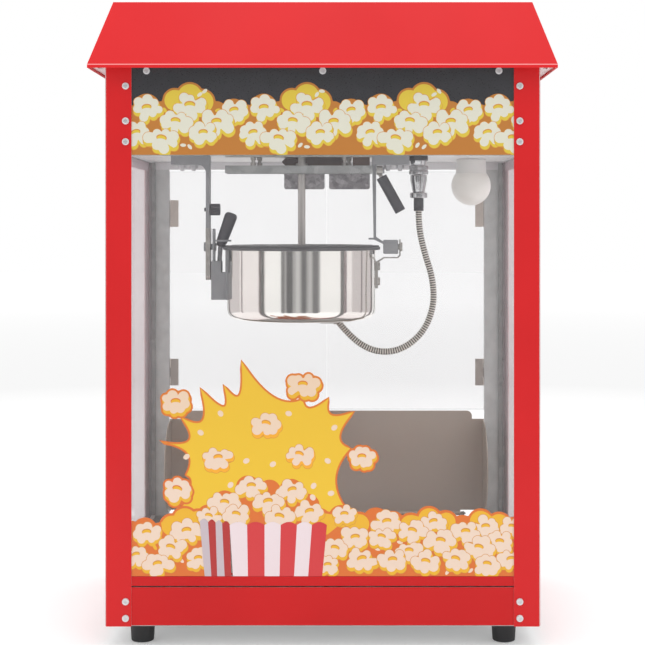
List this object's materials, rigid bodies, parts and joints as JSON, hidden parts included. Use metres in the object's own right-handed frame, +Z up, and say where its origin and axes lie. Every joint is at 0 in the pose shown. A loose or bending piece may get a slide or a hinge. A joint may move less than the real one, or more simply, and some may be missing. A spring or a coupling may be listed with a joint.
{
  "type": "popcorn maker",
  "caption": "Tabletop popcorn cabinet with a hipped roof, glazed front and sides, a hanging tipping kettle, rear doors, a tilting flap and a crumb tray.",
  "frame": {"origin": "on the floor under the middle of the cabinet's outline", "axes": "+Z up, +Y towards the operator's doors, +X to the right of someone who faces the sign"},
  "size_m": [0.56, 0.42, 0.779],
  "materials": {
    "red_paint": "glossy red powder coat",
    "white_paint": "satin white coat",
    "galvanised": "spangled zinc coat",
    "stainless": "brushed",
    "polished_steel": "mirror polished",
    "cast_grey": "grey cast arm",
    "plated_steel": "bright plated",
    "pan_coating": "dark hard coat",
    "clear_glass": "tempered glass",
    "clear_acrylic": "clear acrylic",
    "sign_black": "dark printed panel",
    "black_plastic": "black phenolic",
    "black_rubber": "black rubber",
    "white_plastic": "white plastic",
    "frosted_lens": "frosted lamp lens",
    "brown_plastic": "brown phenolic",
    "motor_steel": "motor can",
    "red_plastic": "red switch cap"
  },
  "bodies": {
    "cabinet": {"roof_shell": "red_paint", "roof_underplate": "white_paint", "front_posts": "red_paint", "rear_posts": "red_paint", "base_front_panel": "red_paint", "front_sill": "red_paint", "base_side_panels": "red_paint", "base_plate": "galvanised", "feet": "black_rubber", "deck_plate": "stainless", "side_headers": "red_paint", "rear_header": "red_paint", "ceiling_plate": "white_paint", "front_glass": "clear_glass", "marquee_sign": "sign_black", "side_glass": "clear_glass", "glass_channels": "galvanised", "flap_pivot": "plated_steel", "door_hinges_fixed": "plated_steel", "gearmotor": "motor_steel", "hanger_rail": "galvanised", "rail_mounts": "plated_steel", "stop_tabs": "galvanised", "limit_switch": "brown_plastic", "left_hanger": "cast_grey", "left_strap": "plated_steel", "right_hanger": "cast_grey", "light_bulb": "frosted_lens", "bulb_housing": "white_plastic", "bulb_socket": "white_plastic", "power_connector": "plated_steel", "hose_fitting": "polished_steel", "kettle_hose": "stainless", "switch_housings": "black_plastic", "fasteners": "plated_steel"},
    "door_left": {"door_left": "clear_acrylic", "door_fittings_left": "plated_steel"},
    "door_right": {"door_right": "clear_acrylic", "door_fittings_right": "plated_steel"},
    "flap": {"rear_flap": "stainless"},
    "tray": {"crumb_tray": "galvanised", "crumb_tray_face": "red_paint"},
    "drive": {"drive_coupling": "plated_steel"},
    "kettle": {"kettle_shell": "polished_steel", "kettle_pan": "pan_coating", "heater_ring": "plated_steel", "kettle_gland": "plated_steel", "lid_crossbar": "pan_coating", "kettle_bracket": "cast_grey", "kettle_hook": "plated_steel", "handle_grip": "black_plastic"},
    "lid_front": {"lid_front": "pan_coating"},
    "lid_rear": {"lid_rear": "pan_coating"},
    "stirrer": {"stirrer": "stainless"},
    "thumb_knob": {"thumb_knob": "black_plastic"},
    "release_lever": {"release_lever": "plated_steel", "release_grip": "black_plastic"},
    "rocker_heat": {"rocker_heat": "red_plastic"},
    "rocker_stirrer": {"rocker_stirrer": "black_plastic"},
    "rocker_lamp": {"rocker_lamp": "black_plastic"}
  },
  "joints": [
    {"name": "door_left_hinge", "type": "hinge", "parent": "cabinet", "child": "door_left", "pos_m": [-0.231, 0.1929, 0.411], "axis": [0, 0, 1], "range_deg": [0, 110]},
    {"name": "door_right_hinge", "type": "hinge", "parent": "cabinet", "child": "door_right", "pos_m": [0.231, 0.1929, 0.411], "axis": [0, 0, -1], "range_deg": [0, 110]},
    {"name": "flap_tilt", "type": "hinge", "parent": "cabinet", "child": "flap", "pos_m": [0, 0.1865, 0.0895], "axis": [-1, 0, 0], "range_deg": [0, 50]},
    {"name": "tray_slide", "type": "slide", "parent": "cabinet", "child": "tray", "axis": [0, 1, 0], "range_m": [0, 0.2]},
    {"name": "kettle_tilt", "type": "hinge", "parent": "cabinet", "child": "kettle", "pos_m": [-0.031, 0, 0.481], "axis": [1, 0, 0], "range_deg": [0, 72], "deforming": ["kettle_hose"]},
    {"name": "drive_spin", "type": "hinge", "parent": "cabinet", "child": "drive", "pos_m": [-0.031, 0, 0.59], "axis": [0, 0, 1], "continuous": true},
    {"name": "stirrer_spin", "type": "hinge", "parent": "kettle", "child": "stirrer", "pos_m": [-0.031, 0, 0.45], "axis": [0, 0, 1], "continuous": true},
    {"name": "lid_front_hinge", "type": "hinge", "parent": "kettle", "child": "lid_front", "pos_m": [-0.031, -0.0113, 0.48255], "axis": [-1, 0, 0], "range_deg": [0, 75]},
    {"name": "lid_rear_hinge", "type": "hinge", "parent": "kettle", "child": "lid_rear", "pos_m": [-0.031, 0.0113, 0.48255], "axis": [1, 0, 0], "range_deg": [0, 75]},
    {"name": "thumb_knob_spin", "type": "hinge", "parent": "cabinet", "child": "thumb_knob", "pos_m": [-0.146, 0, 0.5306], "axis": [1, 0, 0], "continuous": true},
    {"name": "release_lever_swing", "type": "hinge", "parent": "cabinet", "child": "release_lever", "pos_m": [0.072, -0.00625, 0.5825], "axis": [1, 0, 0], "range_deg": [0, 45]},
    {"name": "rocker_heat_press", "type": "hinge", "parent": "cabinet", "child": "rocker_heat", "pos_m": [-0.15, 0.188, 0.65], "axis": [1, 0, 0], "range_deg": [0, 12]},
    {"name": "rocker_stirrer_press", "type": "hinge", "parent": "cabinet", "child": "rocker_stirrer", "pos_m": [-0.11, 0.188, 0.65], "axis": [1, 0, 0], "range_deg": [0, 12]},
    {"name": "rocker_lamp_press", "type": "hinge", "parent": "cabinet", "child": "rocker_lamp", "pos_m": [-0.07, 0.188, 0.65], "axis": [1, 0, 0], "range_deg": [0, 12]}
  ],
  "couplings": [
    {"joint": "stirrer_spin", "follows": "drive_spin", "ratio": 1}
  ]
}
